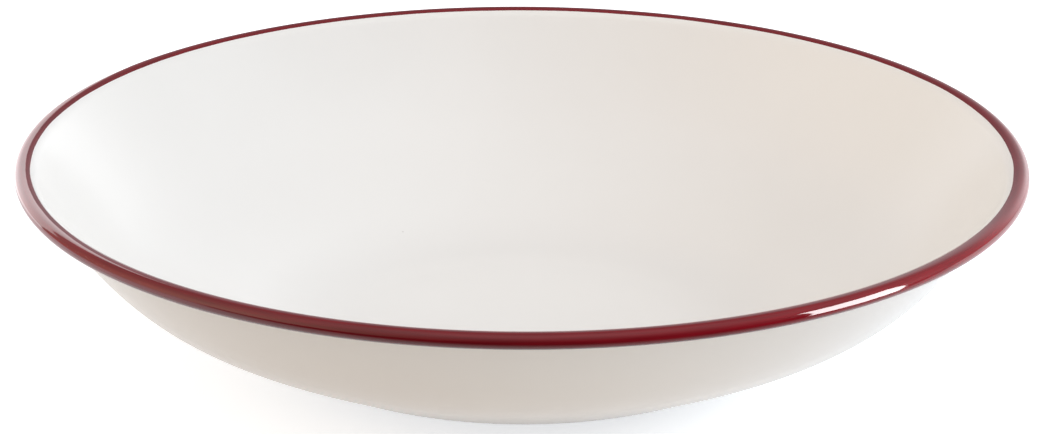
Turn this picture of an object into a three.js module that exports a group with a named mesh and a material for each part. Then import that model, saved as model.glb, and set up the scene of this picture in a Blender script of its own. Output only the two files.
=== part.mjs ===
// Deep plate in enamelled steel. One disc of sheet steel is pressed to a bowl, its edge is rolled
// outward and under, and the sheet is fired in layers: a dark ground coat on both faces, a white
// cover coat on both faces, and a red band over the rolled rim.
// Millimetres, +Z up, origin at the centre of the base's underside.
import * as THREE from 'three';

// Sizes over the enamel
const rimDiameter = 240;
const overallHeight = 50;
const redBandWidth = 3.8; // in from the outermost edge, seen from above

// Sheet, along the middle of its thickness
const baseDiameter = 83; // flat part of the base
const baseCornerRadius = 55; // bend from the base into the wall
const wallFootAngle = 28.7; // slope where the wall leaves that bend, degrees
const wallTopAngle = 57.6; // slope where the wall meets the flare, degrees
const flareRadius = 4; // bend that lays the top of the wall out level at the rim
const rollHollowRadius = 0.76; // hollow left inside the rolled edge
const rollGap = 0.4; // slot between the roll's cut edge and the enamel under the flare

// Layers
const steelThickness = 0.6;
const groundThickness = 0.1;
const coverThickness = 0.2;
const bondGap = 0.02; // clearance between one fired layer and the next

// Facets
const turnSegments = 40;
const cornerSteps = 3;
const wallSteps = 6;
const flareSteps = 3;
const redFlareSteps = 2;
const rollSteps = 8;

// Distances of the layers' faces from the middle of the sheet
const steelFace = steelThickness / 2;
const groundBack = steelFace + bondGap;
const groundFace = groundBack + groundThickness;
const coverBack = groundFace + bondGap;
const coverFace = coverBack + coverThickness;

// A station is a point on the middle of the sheet and the sheet's heading there, in radians
// above level, as it runs from the axis out to the cut edge.
function station(r, z, heading) {
  return { r, z, heading };
}

// Stations along a round bend, after its first point. A rising heading bends the sheet upward.
function bend(centre, radius, fromHeading, toHeading, steps) {
  const side = Math.sign(toHeading - fromHeading);
  const stations = [];
  for (let i = 1; i <= steps; i += 1) {
    const heading = THREE.MathUtils.lerp(fromHeading, toHeading, i / steps);
    const r = centre.x + side * radius * Math.sin(heading);
    const z = centre.y - side * radius * Math.cos(heading);
    stations.push(station(r, z, heading));
  }
  return stations;
}

// Base and its corner
const baseRadius = baseDiameter / 2;
const wallFoot = THREE.MathUtils.degToRad(wallFootAngle);
const wallTop = THREE.MathUtils.degToRad(wallTopAngle);
const cornerCentre = new THREE.Vector2(baseRadius, coverFace + baseCornerRadius);
const base = [station(0, coverFace, 0), station(baseRadius, coverFace, 0)];
const corner = bend(cornerCentre, baseCornerRadius, 0, wallFoot, cornerSteps);

// Roll and flare share the level stretch at the top of the rim
const rollRadius = rollHollowRadius + steelFace;
const rollOuterRadius = rollRadius + coverFace;
const rollCentre = new THREE.Vector2(rimDiameter / 2 - rollOuterRadius, overallHeight - rollOuterRadius);
const flareCentre = new THREE.Vector2(rollCentre.x, rollCentre.y + rollRadius - flareRadius);

// The roll turns until its end comes within rollGap of the enamel under the flare.
function turnToSlot(radius) {
  const centreDistance = flareRadius - rollRadius;
  const slotRadius = flareRadius - coverFace - rollGap;
  const cosine = (slotRadius ** 2 - centreDistance ** 2 - radius ** 2) / (2 * centreDistance * radius);
  return 2 * Math.PI - Math.acos(cosine);
}
const rollTurn = Math.min(turnToSlot(rollHollowRadius), turnToSlot(rollOuterRadius));
const roll = bend(rollCentre, rollRadius, 0, -rollTurn, rollSteps);

// The red band starts on the flare; the white coat stops one bond gap short of it.
const flareSurfaceRadius = flareRadius + coverFace;
const redEdgeInset = redBandWidth - rollOuterRadius;
const redEdge = Math.asin(redEdgeInset / flareSurfaceRadius);
const whiteEdge = redEdge + bondGap / flareSurfaceRadius;
const flareUnderWhite = bend(flareCentre, flareRadius, wallTop, redEdge, flareSteps);
const flareUnderRed = bend(flareCentre, flareRadius, redEdge, 0, redFlareSteps);
const whiteEnd = bend(flareCentre, flareRadius, wallTop, whiteEdge, 1);

// The wall is one free curve from the base corner to the flare, tangent to both.
function wallStations() {
  const foot = new THREE.Vector2(corner.at(-1).r, corner.at(-1).z);
  const top = new THREE.Vector2(
    flareCentre.x - flareRadius * Math.sin(wallTop),
    flareCentre.y + flareRadius * Math.cos(wallTop),
  );
  const direction = (heading) => new THREE.Vector2(Math.cos(heading), Math.sin(heading));
  const handle = foot.distanceTo(top) / 2;
  const footHandle = foot.clone().addScaledVector(direction(wallFoot), handle);
  const topHandle = top.clone().addScaledVector(direction(wallTop), -handle);
  const curve = new THREE.CubicBezierCurve(foot, footHandle, topHandle, top);
  const stations = [];
  for (let i = 1; i <= wallSteps; i += 1) {
    const point = curve.getPoint(i / wallSteps);
    stations.push(station(point.x, point.y, curve.getTangent(i / wallSteps).angle()));
  }
  return stations;
}

// Stretches of the sheet that the layers cover
const bowl = [...base, ...corner, ...wallStations()];
const underside = [...bowl, ...flareUnderWhite, ...flareUnderRed];
const wholeSheet = [...underside, ...roll];
const whiteStretch = [...bowl, ...flareUnderWhite.slice(0, -1), ...whiteEnd];
const redStretch = [flareUnderWhite.at(-1), ...flareUnderRed, ...roll];

// A layer is turned about the axis between two distances from the middle of the sheet, counted
// positive toward the inside of the bowl. A stretch that misses the axis closes on itself.
function layer(stretch, lower, upper) {
  const face = (distance) => stretch.map(({ r, z, heading }) => new THREE.Vector2(
    r - distance * Math.sin(heading),
    z + distance * Math.cos(heading),
  ));
  const outline = [...face(lower), ...face(upper).reverse()];
  if (stretch[0].r > 0) outline.push(outline[0].clone());
  return new THREE.LatheGeometry(outline, turnSegments).rotateX(Math.PI / 2);
}

// Finishes
const bareSteel = new THREE.MeshStandardMaterial({ color: 0x8b8e92, roughness: 0.45, metalness: 1 });
const groundEnamel = new THREE.MeshStandardMaterial({ color: 0x1b1f2b, roughness: 0.3, metalness: 0 });
const whiteEnamel = new THREE.MeshStandardMaterial({ color: 0xf2efe9, roughness: 0.12, metalness: 0 });
const redEnamel = new THREE.MeshStandardMaterial({ color: 0x8a1519, roughness: 0.12, metalness: 0 });

const deepPlate = new THREE.Group();

function addPiece(name, geometry, material) {
  const piece = new THREE.Mesh(geometry, material.clone());
  piece.name = name;
  deepPlate.add(piece);
}

// The pressed sheet carries every coat
addPiece('steel_body', layer(wholeSheet, -steelFace, steelFace), bareSteel);

// Dark ground coats bond the covers to the steel
addPiece('inside_ground_coat', layer(wholeSheet, groundBack, groundFace), groundEnamel);
addPiece('outside_ground_coat', layer(underside, -groundFace, -groundBack), groundEnamel);

// White cover coats
addPiece('inside_white_enamel', layer(whiteStretch, coverBack, coverFace), whiteEnamel);
addPiece('outside_white_enamel', layer(underside, -coverFace, -coverBack), whiteEnamel);

// Red band from the flare over the roll to its cut edge
addPiece('red_rim_enamel', layer(redStretch, coverBack, coverFace), redEnamel);

export default deepPlate;
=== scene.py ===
from math import acos, asin, atan2, cos, pi, radians, sin, tau

import bpy
from mathutils import Euler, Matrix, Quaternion, Vector


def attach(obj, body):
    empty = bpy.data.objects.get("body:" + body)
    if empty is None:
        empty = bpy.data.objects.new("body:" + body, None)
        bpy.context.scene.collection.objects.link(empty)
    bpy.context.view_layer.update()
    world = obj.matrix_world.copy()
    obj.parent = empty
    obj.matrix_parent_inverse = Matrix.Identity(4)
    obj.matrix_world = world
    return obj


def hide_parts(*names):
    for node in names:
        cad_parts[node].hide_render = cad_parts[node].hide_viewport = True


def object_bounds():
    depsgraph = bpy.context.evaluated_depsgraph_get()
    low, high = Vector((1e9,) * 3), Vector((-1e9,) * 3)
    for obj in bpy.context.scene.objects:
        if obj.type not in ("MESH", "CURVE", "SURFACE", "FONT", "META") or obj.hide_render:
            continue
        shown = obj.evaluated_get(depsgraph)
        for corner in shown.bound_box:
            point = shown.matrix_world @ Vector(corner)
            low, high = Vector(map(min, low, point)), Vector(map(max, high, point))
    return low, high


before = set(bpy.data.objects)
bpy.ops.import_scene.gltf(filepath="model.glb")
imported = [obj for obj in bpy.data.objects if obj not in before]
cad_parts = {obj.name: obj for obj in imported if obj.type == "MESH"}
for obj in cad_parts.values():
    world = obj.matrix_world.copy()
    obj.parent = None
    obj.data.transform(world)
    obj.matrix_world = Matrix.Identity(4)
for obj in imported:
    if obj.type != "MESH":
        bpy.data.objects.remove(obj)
cad_low, cad_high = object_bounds()

# Pressed sheet. One disc of thin mild steel, drawn in a press to a bowl with a flat base; its edge is
# flared level and rolled outward and under into a closed bead. Every coat is fired onto it.
rim_radius = 0.120
rim_top = 0.050
base_radius = 0.0415
base_corner_radius = 0.055
wall_foot_slope = radians(28.7)
wall_top_slope = radians(57.6)
flare_radius = 0.004
roll_hollow_radius = 0.00076
roll_gap = 0.0004
red_band_width = 0.0038
steel_thickness = 0.0006
ground_thickness = 0.0001
cover_thickness = 0.0002
bond_gap = 0.00002

# Rings of points along each stretch of the sheet, and segments round the axis
base_rings = 16
corner_rings = 28
wall_rings = 48
flare_rings = 12
red_flare_rings = 8
roll_rings = 44
turn_segments = 240

# Distances of the layers' faces from the middle of the sheet
steel_face = steel_thickness / 2
ground_back = steel_face + bond_gap
ground_face = ground_back + ground_thickness
cover_back = ground_face + bond_gap
cover_face = cover_back + cover_thickness


def on_bend(centre, radius, side, slope):
    """A station of a round bend, where the sheet has this slope: its radius, height and slope.
    The side is 1 where the sheet bends upward and -1 where it bends downward."""
    return (centre.x + side * radius * sin(slope), centre.y - side * radius * cos(slope), slope)


def bend(centre, radius, from_slope, to_slope, rings):
    """The stations after the first along a round bend of the sheet."""
    side = 1 if to_slope > from_slope else -1
    slopes = [from_slope + (to_slope - from_slope) * (i + 1) / rings for i in range(rings)]
    return [on_bend(centre, radius, side, slope) for slope in slopes]


def drawn_wall(foot, top, rings):
    """The free curve of the wall between the base corner and the flare, tangent to both."""
    start = Vector(foot[:2])
    end = Vector(top[:2])
    reach = (end - start).length / 2
    start_handle = start + reach * Vector((cos(foot[2]), sin(foot[2])))
    end_handle = end - reach * Vector((cos(top[2]), sin(top[2])))
    stations = []
    for i in range(1, rings + 1):
        t = i / rings
        middle = start_handle.lerp(end_handle, t)
        behind = start.lerp(start_handle, t).lerp(middle, t)
        ahead = middle.lerp(end_handle.lerp(end, t), t)
        point = behind.lerp(ahead, t)
        heading = ahead - behind
        stations.append((point.x, point.y, atan2(heading.y, heading.x)))
    return stations


roll_radius = roll_hollow_radius + steel_face
roll_outer_radius = roll_radius + cover_face
roll_centre = Vector((rim_radius - roll_outer_radius, rim_top - roll_outer_radius))
flare_centre = roll_centre + Vector((0, roll_radius - flare_radius))
flare_surface_radius = flare_radius + cover_face
red_edge_slope = asin((red_band_width - roll_outer_radius) / flare_surface_radius)


def turn_to_slot(radius):
    """How far the roll turns before its end comes within the slot's width of the flare."""
    centre_distance = flare_radius - roll_radius
    slot_radius = flare_radius - cover_face - roll_gap
    cosine = (slot_radius**2 - centre_distance**2 - radius**2) / (2 * centre_distance * radius)
    return tau - acos(cosine)


roll_turn = min(turn_to_slot(roll_hollow_radius), turn_to_slot(roll_outer_radius))
base = [(base_radius * i / base_rings, cover_face, 0.0) for i in range(base_rings + 1)]
corner_centre = Vector((base_radius, cover_face + base_corner_radius))
corner = bend(corner_centre, base_corner_radius, 0, wall_foot_slope, corner_rings)
wall_top = on_bend(flare_centre, flare_radius, -1, wall_top_slope)
bowl = base + corner + drawn_wall(corner[-1], wall_top, wall_rings)
flare_under_white = bend(flare_centre, flare_radius, wall_top_slope, red_edge_slope, flare_rings)
flare_under_red = bend(flare_centre, flare_radius, red_edge_slope, 0, red_flare_rings)
roll = bend(roll_centre, roll_radius, 0, -roll_turn, roll_rings)
underside = bowl + flare_under_white + flare_under_red
whole_sheet = underside + roll


class Wire:
    """A socket of a node tree. Arithmetic on wires adds Math nodes; node() adds any other node."""

    def __init__(self, tree, socket=None):
        self.tree = tree
        self.socket = socket

    def node(self, kind, settings=None, sockets=None, output=0):
        """A new node of a kind, with its settings and the values or wires of its sockets."""
        made = self.tree.nodes.new(kind)
        for name, value in (settings or {}).items():
            setattr(made, name, value)
        for name, value in (sockets or {}).items():
            if isinstance(value, Wire):
                self.tree.links.new(value.socket, made.inputs[name])
            else:
                made.inputs[name].default_value = value
        return Wire(self.tree, made.outputs[output] if made.outputs else None)

    def other(self, output):
        """Another output of the node that this wire leaves."""
        return Wire(self.tree, self.socket.node.outputs[output])

    def vector(self, operation, sockets, output="Vector"):
        return self.node("ShaderNodeVectorMath", {"operation": operation}, sockets, output)

    def noise(self, place, scale, detail):
        sockets = {"Vector": place, "Scale": scale, "Detail": detail}
        return self.node("ShaderNodeTexNoise", None, sockets, "Fac")

    def blend(self, factor, first, second):
        """Two colours mixed. The sockets go by number, since their names repeat in a Mix node."""
        sockets = {0: factor, 6: first, 7: second}
        return self.node("ShaderNodeMix", {"data_type": "RGBA"}, sockets, 2)

    def between(self, low, high):
        """Runs from low to high while this wire runs from 0 to 1."""
        return self * (high - low) + low

    def math(self, operation, first, second=0.0):
        return self.node("ShaderNodeMath", {"operation": operation}, {0: first, 1: second})

    def __add__(self, other):
        return self.math("ADD", self, other)

    def __sub__(self, other):
        return self.math("SUBTRACT", self, other)

    def __rsub__(self, other):
        return self.math("SUBTRACT", other, self)

    def __mul__(self, other):
        return self.math("MULTIPLY", self, other)

    def __truediv__(self, other):
        return self.math("DIVIDE", self, other)

    def __rtruediv__(self, other):
        return self.math("DIVIDE", other, self)

    def __gt__(self, other):
        return self.math("GREATER_THAN", self, other)

    def __lt__(self, other):
        return self.math("LESS_THAN", self, other)

    __radd__ = __add__
    __rmul__ = __mul__


merge_distance = 1e-6


def turning_tree():
    """Turns an outline about the Z axis into a closed layer, with a brushed edge that wanders."""
    tree = bpy.data.node_groups.new("turned_layer", "GeometryNodeTree")
    inputs = {
        "Outline": "NodeSocketGeometry",
        "Turn Segments": "NodeSocketInt",
        "Edge Wander": "NodeSocketFloat",
        "Wander Around": "NodeSocketFloat",
        "Finish": "NodeSocketMaterial",
    }
    for name, kind in inputs.items():
        tree.interface.new_socket(name, in_out="INPUT", socket_type=kind)
    tree.interface.new_socket("Layer", in_out="OUTPUT", socket_type="NodeSocketGeometry")
    build = Wire(tree)
    outline = build.node("NodeGroupInput", None, None, "Outline")
    segments = outline.other("Turn Segments")
    wander = outline.other("Edge Wander")
    around = outline.other("Wander Around")
    finish = outline.other("Finish")

    # A grid with one row for each point of the outline and one column for each step of the turn
    measured = {"Geometry": outline}
    count = build.node("GeometryNodeAttributeDomainSize", {"component": "MESH"}, measured, "Point Count")
    columns = segments + 1
    grid_sockets = {"Vertices X": count, "Vertices Y": columns}
    grid = build.node("GeometryNodeMeshGrid", None, grid_sockets, "Mesh")
    spread = grid.other("UV Map")
    index = build.node("GeometryNodeInputIndex")
    row = build.math("FLOOR", (index + 0.5) / columns)
    turn = (index - row * columns) / segments * tau
    vectors = {"data_type": "FLOAT_VECTOR"}

    def on_outline(value):
        sampled = {"Geometry": outline, "Value": value, "Index": row}
        return build.node("GeometryNodeSampleIndex", vectors, sampled)

    # Points of the brushed edge slide along the sheet, and then every point turns to its column
    place = on_outline(build.node("GeometryNodeInputPosition"))
    named = {"Name": "along_edge"}
    along = on_outline(build.node("GeometryNodeInputNamedAttribute", vectors, named))
    across = build.math("COSINE", turn) * around
    beside = build.math("SINE", turn) * around
    spot = build.node("ShaderNodeCombineXYZ", None, {"X": across, "Y": beside})
    slide = (build.noise(spot, scale=1.0, detail=2.0) - 0.5) * wander
    shift = build.vector("SCALE", {0: along, "Scale": slide})
    brushed = {"Vector": build.vector("ADD", {0: place, 1: shift}), "Angle": turn}
    turned = build.node("ShaderNodeVectorRotate", {"rotation_type": "Z_AXIS"}, brushed)

    layer = build.node("GeometryNodeSetPosition", None, {"Geometry": grid, "Position": turned})
    on_corners = {"data_type": "FLOAT2", "domain": "CORNER"}
    stored = {"Geometry": layer, "Name": "UVMap", "Value": spread}
    layer = build.node("GeometryNodeStoreNamedAttribute", on_corners, stored)
    merged = {"Geometry": layer, "Distance": merge_distance}
    layer = build.node("GeometryNodeMergeByDistance", None, merged)
    layer = build.node("GeometryNodeRealizeInstances", None, {"Geometry": layer})
    layer = build.node("GeometryNodeSetMaterial", None, {"Geometry": layer, "Material": finish})
    build.node("NodeGroupOutput", None, {"Layer": layer})
    return tree


turned_layer = turning_tree()
edge_wander = 0.0005
edge_wander_around = 6.0
sharp_edge_angle = radians(40)


def turned_piece(name, stretch, lower, upper, finish, brushed_ends=()):
    """A layer of the plate between two distances from the middle of the sheet, inside positive.
    The ends of the stretch that are named in brushed_ends wander along the sheet."""
    weights = [0.0] * len(stretch)
    for end in brushed_ends:
        weights[end] = 1.0
    stations = list(zip(stretch, weights))
    rows = [(station, weight, upper) for station, weight in stations]
    rows += [(station, weight, lower) for station, weight in reversed(stations)]
    if stretch[0][0] > 0:
        rows.append(rows[0])
    points = [(r - far * sin(slope), 0, z + far * cos(slope)) for (r, z, slope), weight, far in rows]
    along = [(weight * cos(slope), 0, weight * sin(slope)) for (r, z, slope), weight, far in rows]

    mesh = bpy.data.meshes.new(name)
    mesh.from_pydata(points, [], [])
    attribute = mesh.attributes.new("along_edge", "FLOAT_VECTOR", "POINT")
    attribute.data.foreach_set("vector", [part for vector in along for part in vector])
    piece = bpy.data.objects.new(name, mesh)
    bpy.context.collection.objects.link(piece)
    modifier = piece.modifiers.new("turn", "NODES")
    modifier.node_group = turned_layer
    inputs = {
        "Turn Segments": turn_segments,
        "Edge Wander": edge_wander,
        "Wander Around": edge_wander_around,
        "Finish": finish,
    }
    for socket in turned_layer.interface.items_tree:
        if socket.name in inputs:
            modifier[socket.identifier] = inputs[socket.name]
    evaluated = piece.evaluated_get(bpy.context.evaluated_depsgraph_get())
    piece.data = bpy.data.meshes.new_from_object(evaluated)
    piece.modifiers.clear()
    piece.data.shade_smooth()
    piece.data.set_sharp_from_angle(angle=sharp_edge_angle)
    return piece


def new_finish(name):
    """An empty material, with a wire on its tree and one on its Object coordinates."""
    finish = bpy.data.materials.new(name)
    finish.use_nodes = True
    finish.node_tree.nodes.clear()
    tools = Wire(finish.node_tree)
    return finish, tools, tools.node("ShaderNodeTexCoord", None, None, "Object")


def close_finish(tools, sockets):
    """The Principled shader on a material's output."""
    shader = tools.node("ShaderNodeBsdfPrincipled", None, sockets)
    tools.node("ShaderNodeOutputMaterial", None, {"Surface": shader})


steel_dark = (0.38, 0.39, 0.40, 1)
steel_light = (0.52, 0.53, 0.54, 1)
rolling_lines_per_metre = (900, 30, 900)


def rolled_steel():
    """Bare sheet, rolling lines across it, shown only at the cut edge under the roll."""
    finish, tools, place = new_finish("rolled_steel")
    stretch = {"Vector": place, "Scale": rolling_lines_per_metre}
    lines = tools.noise(tools.node("ShaderNodeMapping", None, stretch), scale=1.0, detail=3.0)
    colour = tools.blend(lines, steel_dark, steel_light)
    roughness = lines.between(0.32, 0.52)
    close_finish(tools, {"Base Color": colour, "Metallic": 1.0, "Roughness": roughness})
    return finish


steel = turned_piece("pressed_sheet", whole_sheet, -steel_face, steel_face, rolled_steel())
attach(steel, "root")
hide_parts("steel_body")

# Ground coats. A thin dark enamel that bonds to the steel, dipped and fired first on both faces;
# it is hidden under the covers and shows only in the slot where the roll closes.
ground_dark = (0.006, 0.008, 0.014, 1)
ground_light = (0.018, 0.022, 0.036, 1)


def ground_enamel():
    """Blue-black glass with the mottling of its cobalt."""
    finish, tools, place = new_finish("ground_enamel")
    mottle = tools.noise(place, scale=260.0, detail=4.0)
    colour = tools.blend(mottle, ground_dark, ground_light)
    roughness = mottle.between(0.2, 0.4)
    close_finish(tools, {"Base Color": colour, "Roughness": roughness, "IOR": 1.52})
    return finish


ground = ground_enamel()
inside_ground = turned_piece("inside_ground", whole_sheet, ground_back, ground_face, ground)
outside_ground = turned_piece("outside_ground", underside, -ground_face, -ground_back, ground)
for coat, node in ((inside_ground, "inside_ground_coat"), (outside_ground, "outside_ground_coat")):
    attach(coat, "root")
    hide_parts(node)

# White cover coats. Opaque warm white enamel, slushed over the ground coat inside and out and fired
# to a soft gloss. Inside it stops at the brushed red band; outside it runs under the roll.
white_thin = (0.875, 0.865, 0.845, 1)
white_thick = (0.905, 0.897, 0.88, 1)
speck_brown = (0.25, 0.19, 0.14, 1)
speck_cells_per_metre = 190.0
speck_reach = 0.035  # of a cell
speck_lot = 0.975  # cells that draw more than this hold a speck
speck_strength = 0.45
white_relief = 0.00001
peel_share = 0.25  # of that relief


def white_enamel():
    """Glossy glass with a faint orange peel, slow changes of thickness and a few tiny iron specks."""
    finish, tools, place = new_finish("white_enamel")
    cloud = tools.noise(place, scale=22.0, detail=3.0)
    colour = tools.blend(cloud, white_thin, white_thick)
    cells = {"Vector": place, "Scale": speck_cells_per_metre}
    speck = tools.node("ShaderNodeTexVoronoi", None, cells, "Distance")
    lot = tools.node("ShaderNodeSeparateColor", None, {"Color": speck.other("Color")}, "Red")
    dirt = (speck < speck_reach) * (lot > speck_lot) * speck_strength
    colour = tools.blend(dirt, colour, speck_brown)
    peel = tools.noise(place, scale=380.0, detail=1.0)
    flow = tools.noise(place, scale=42.0, detail=1.0)
    relief = {"Strength": 1.0, "Distance": white_relief, "Height": peel * peel_share + flow}
    bump = tools.node("ShaderNodeBump", None, relief)
    roughness = cloud.between(0.21, 0.26)
    close_finish(tools, {"Base Color": colour, "Roughness": roughness, "IOR": 1.42, "Normal": bump})
    return finish


white = white_enamel()
white_edge_slope = red_edge_slope + bond_gap / flare_surface_radius
white_end = on_bend(flare_centre, flare_radius, -1, white_edge_slope)
white_stretch = bowl + flare_under_white[:-1] + [white_end]
inside_white = turned_piece("inside_white", white_stretch, cover_back, cover_face, white, (-1,))
outside_white = turned_piece("outside_white", underside, -cover_face, -cover_back, white)
for coat, node in ((inside_white, "inside_white_enamel"), (outside_white, "outside_white_enamel")):
    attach(coat, "root")
    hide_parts(node)

# Red rim. Deep red enamel brushed round the flare and the roll by hand while the plate turns, so
# its streaks run round the rim and its inner edge wanders a little.
red_thick = (0.066, 0.0011, 0.0032, 1)
red_thin = (0.162, 0.0036, 0.0085, 1)
streaks_around = 9.0
streaks_per_metre = 1400
red_relief = 0.000012


def red_enamel():
    """Deep red glass, streaked along the brush's way round the rim."""
    finish, tools, place = new_finish("red_enamel")
    flat = tools.vector("MULTIPLY", {0: place, 1: (1, 1, 0)})
    outward = tools.vector("NORMALIZE", {0: flat})
    reach = tools.vector("LENGTH", {0: flat}, "Value")
    height = tools.node("ShaderNodeSeparateXYZ", None, {"Vector": place}, "Z")
    around = tools.vector("SCALE", {0: outward, "Scale": streaks_around})
    lift = tools.node("ShaderNodeCombineXYZ", None, {"Z": height * streaks_per_metre})
    track = tools.vector("ADD", {0: around, 1: lift})
    brushed = {"Vector": track, "W": reach * streaks_per_metre, "Scale": 1.0, "Detail": 3.0}
    streak = tools.node("ShaderNodeTexNoise", {"noise_dimensions": "4D"}, brushed, "Fac")
    colour = tools.blend(streak, red_thick, red_thin)
    relief = {"Strength": 1.0, "Distance": red_relief, "Height": streak}
    bump = tools.node("ShaderNodeBump", None, relief)
    roughness = streak.between(0.03, 0.09)
    close_finish(tools, {"Base Color": colour, "Roughness": roughness, "IOR": 1.55, "Normal": bump})
    return finish


red_stretch = flare_under_white[-1:] + flare_under_red + roll
red_rim = turned_piece("red_rim", red_stretch, cover_back, cover_face, red_enamel(), (0,))
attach(red_rim, "root")
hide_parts("red_rim_enamel")

# Paper floor. A wide sheet of pale paper that the plate stands on and throws its shadow on. Seen by
# the camera it is lifted to white; in reflections it is lifted near the plate and painted dark further
# in front of it, a painted dark reflection.
floor_half = 4.0
floor_drop = 0.00005
paper_dark = (0.60, 0.58, 0.55, 1)
paper_light = (0.64, 0.62, 0.59, 1)
paper_lifted = (0.93, 0.95, 0.98, 1)
paper_glow_colour = (0.98, 1.0, 1.03, 1)
paper_glow_strength = 0.66
# Painted dark reflection: the near-black colour that reflections of the paper take far in front of the
# plate.
painted_dark_reflection = (0.03, 0.03, 0.03, 1)
painted_dark_way = (0.25, -0.97, 0.0)
painted_dark_from = 0.06
painted_dark_full = 0.21


def pale_floor():
    """Pale paper, lifted to white where the camera or a nearby reflection sees it, with its shadow kept;
    in reflections far in front of the plate it is painted dark, a painted dark reflection.
    """
    finish, tools, place = new_finish("pale_floor")
    camera_ray = tools.node("ShaderNodeLightPath", None, None, "Is Camera Ray")
    mirrored = camera_ray.other("Is Glossy Ray") + camera_ray.other("Is Transmission Ray")
    forward = tools.vector("DOT_PRODUCT", {0: place, 1: painted_dark_way}, "Value")
    fade = {"Value": forward, "From Min": painted_dark_from, "From Max": painted_dark_full}
    beyond = tools.node("ShaderNodeMapRange", {"interpolation_type": "SMOOTHSTEP"}, fade)
    seen = camera_ray + mirrored * (1 - beyond)
    grain = tools.noise(place, scale=30.0, detail=2.0)
    paper = tools.blend(grain, paper_dark, paper_light)
    # Painted dark reflection: beyond the fade in front of the plate, reflected rays see the paper
    # painted near black.
    paper = tools.blend(mirrored * beyond, paper, painted_dark_reflection)
    paper = tools.blend(seen, paper, paper_lifted)
    matt = tools.node("ShaderNodeBsdfDiffuse", None, {"Color": paper})
    glow_sockets = {"Color": paper_glow_colour, "Strength": paper_glow_strength}
    glow = tools.node("ShaderNodeEmission", None, glow_sockets)
    unlit = tools.node("ShaderNodeEmission", None, {"Strength": 0.0})
    lift = tools.node("ShaderNodeMixShader", None, {0: seen, 1: unlit, 2: glow})
    both = tools.node("ShaderNodeAddShader", None, {0: matt, 1: lift})
    tools.node("ShaderNodeOutputMaterial", None, {"Surface": both})
    return finish


floor_corners = [(-1, -1), (1, -1), (1, 1), (-1, 1)]
floor_points = [(x * floor_half, y * floor_half, cad_low[2] - floor_drop) for x, y in floor_corners]
floor_mesh = bpy.data.meshes.new("floor")
floor_mesh.from_pydata(floor_points, [], [(0, 1, 2, 3)])
floor_mesh.materials.append(pale_floor())
floor = bpy.data.objects.new("floor", floor_mesh)
bpy.context.collection.objects.link(floor)

# Lamps. Soft boxes that the camera doesn't see: one on the right and one overhead for the plate, two
# low panels and a warm glow off the paper for the outside wall, and for the red rim a wash from each
# side, a card that it mirrors on the left, and a strip that it mirrors on the right.
plate_middle = (0, 0, 0.03)
rim_middle = (0, 0, 0.045)


def softbox(name, place, aim, size, watts, colour, lights=(), mirrored=True, washes=True):
    """A rectangular area light that faces the point it is aimed at. Where lights names objects, it
    lights those alone. Mirrored off keeps it out of reflections; washes off leaves only those."""
    lamp = bpy.data.lights.new(name, "AREA")
    lamp.shape = "RECTANGLE"
    lamp.size, lamp.size_y = size
    lamp.energy = watts
    lamp.color = colour
    stand = bpy.data.objects.new(name, lamp)
    stand.location = place
    stand.rotation_euler = (Vector(aim) - Vector(place)).to_track_quat("-Z", "Y").to_euler()
    stand.visible_camera = False
    stand.visible_glossy = mirrored
    stand.visible_diffuse = washes
    bpy.context.collection.objects.link(stand)
    if lights:
        receivers = bpy.data.collections.new(name + "_lights")
        for lit in lights:
            receivers.objects.link(lit)
        stand.light_linking.receiver_collection = receivers


softbox(
    "right_lamp", (0.95, 0.05, 0.52), aim=plate_middle, size=(0.7, 0.5), watts=12.0,
    colour=(0.355, 0.378, 0.388), lights=(inside_white, red_rim, floor), mirrored=False,
)
softbox(
    "top_lamp", (0, -0.55, 0.95), aim=plate_middle, size=(0.8, 0.5), watts=12.0,
    colour=(0.208, 0.203, 0.213), mirrored=False,
)
softbox(
    "side_panel", (0.36, -0.06, 0.034), aim=(0, -0.06, 0.034), size=(0.36, 0.06), watts=0.6,
    colour=(0.13, 0.19, 0.27), lights=(outside_white,), mirrored=False,
)
softbox(
    "front_panel", (0.26, -0.34, 0.04), aim=(0, -0.05, 0.03), size=(0.30, 0.06), watts=0.6,
    colour=(0.30, 0.29, 0.27), lights=(outside_white,), mirrored=False,
)
softbox(
    "paper_glow", (0, -0.105, 0.002), aim=(0, -0.10, 0.1), size=(0.20, 0.06), watts=0.0030,
    colour=(1, 0.60, 0.30), lights=(outside_white,), mirrored=False,
)
softbox(
    "left_wash", (-0.55, 0.05, 0.20), aim=rim_middle, size=(0.3, 0.2), watts=3.0,
    colour=(1, 0.95, 0.9), lights=(red_rim,), mirrored=False,
)
softbox(
    "right_wash", (0.50, -0.20, 0.20), aim=rim_middle, size=(0.3, 0.2), watts=3.8,
    colour=(1, 1, 1), lights=(red_rim,), mirrored=False,
)
softbox(
    "rim_card", (-0.2725, 0.16, 0.10), aim=(-0.2725, 0, 0.10), size=(0.295, 0.20), watts=0.310,
    colour=(1, 1, 1), lights=(red_rim,),
)
softbox(
    "rim_strip", (0.1674, -0.1245, 0.060), aim=(0.0794, -0.0865, 0.048), size=(0.066, 0.09),
    watts=0.32, colour=(1, 0.97, 0.98), lights=(red_rim,), washes=False,
)

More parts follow.
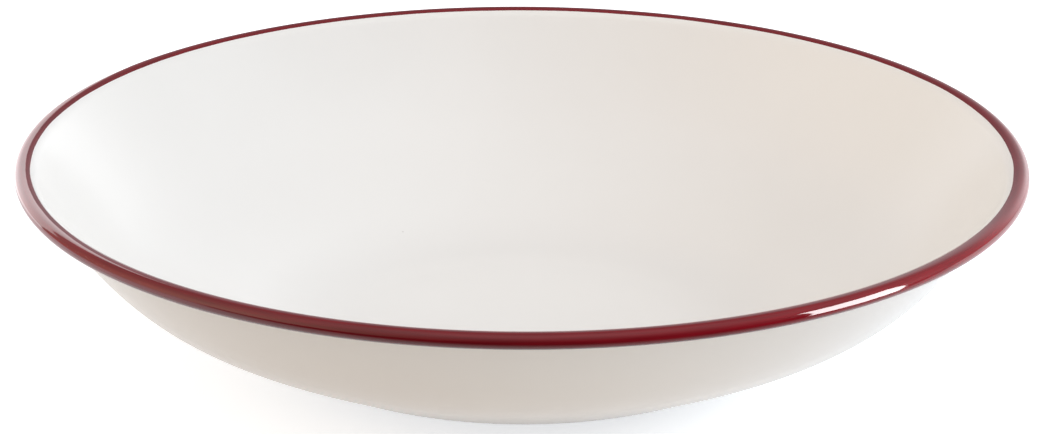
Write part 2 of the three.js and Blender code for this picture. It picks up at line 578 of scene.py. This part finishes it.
# Room. The rest of the light comes from all round, as soft patches of a sky: even overhead and on the
# right, warm on the left, dim behind, with two brighter patches low down behind the plate.
# Each patch has the way toward it, how tight it is, and its colour.
sky_patches = {
    "overhead": ((0.0, 0.0, 1.0), 4.0, (0.42, 0.42, 0.42)),
    "front overhead": ((0.0, -0.45, 0.89), 3.0, (0.40, 0.40, 0.41)),
    "right": ((1.0, 0.1, 0.55), 4.0, (0.52, 0.52, 0.52)),
    "low right": ((1.0, -0.05, 0.05), 12.0, (0.40, 0.40, 0.40)),
    "left": ((-1.0, 0.0, 0.5), 3.0, (0.60, 0.52, 0.42)),
    "low warm left": ((-0.9, -0.4, 0.1), 5.0, (1.10, 0.90, 0.70)),
    "back": ((0.0, 1.0, 0.45), 3.0, (0.15, 0.15, 0.16)),
    "low back left": ((-0.5, 0.87, 0.1), 14.0, (0.90, 0.92, 0.97)),
    "low back right": ((0.5, 0.87, 0.1), 14.0, (1.85, 1.87, 1.92)),
}
world = bpy.data.worlds.new("studio")
world.use_nodes = True
world.node_tree.nodes.clear()
sky = Wire(world.node_tree)
way = sky.node("ShaderNodeTexCoord", None, None, "Generated")
sky_colour = (0.0, 0.0, 0.0)
for toward, tightness, colour in sky_patches.values():
    axis = tuple(Vector(toward).normalized())
    turned_to_it = sky.vector("DOT_PRODUCT", {0: way, 1: axis}, "Value")
    strength = sky.math("POWER", sky.math("MAXIMUM", turned_to_it, 0.0), tightness)
    patch = sky.vector("SCALE", {0: colour, "Scale": strength})
    sky_colour = sky.vector("ADD", {0: sky_colour, 1: patch})
sky_shader = sky.node("ShaderNodeBackground", None, {"Color": sky_colour, "Strength": 1.0})
sky.node("ShaderNodeOutputWorld", None, {"Surface": sky_shader})
bpy.context.scene.world = world

# Camera. It stands where the photograph was taken from, in front and about 20 degrees above level,
# and its small shift only keeps the photograph's framing.
photo_width = 1045
photo_height = 434
lens_pixels = 2468.27
camera_distance = 0.6
camera_rise = radians(20.465)
camera_roll = radians(0.2137)
aim_height = 0.030
aim_pixel = (521.678, 217.446)
view = bpy.data.cameras.new("photo_view")
view.sensor_width = 36.0
view.lens = lens_pixels * view.sensor_width / photo_width
view.shift_x = (photo_width / 2 - aim_pixel[0]) / photo_width
view.shift_y = (aim_pixel[1] - photo_height / 2) / photo_width
view.clip_start = 0.01
camera = bpy.data.objects.new("photo_view", view)
camera_height = aim_height + camera_distance * sin(camera_rise)
camera.location = (0, -camera_distance * cos(camera_rise), camera_height)
level = Euler((pi / 2 - camera_rise, 0, 0)).to_quaternion()
camera.rotation_euler = (level @ Quaternion((0, 0, 1), camera_roll)).to_euler()
bpy.context.collection.objects.link(camera)
bpy.context.scene.camera = camera
bpy.context.scene.view_settings.view_transform = "Standard"
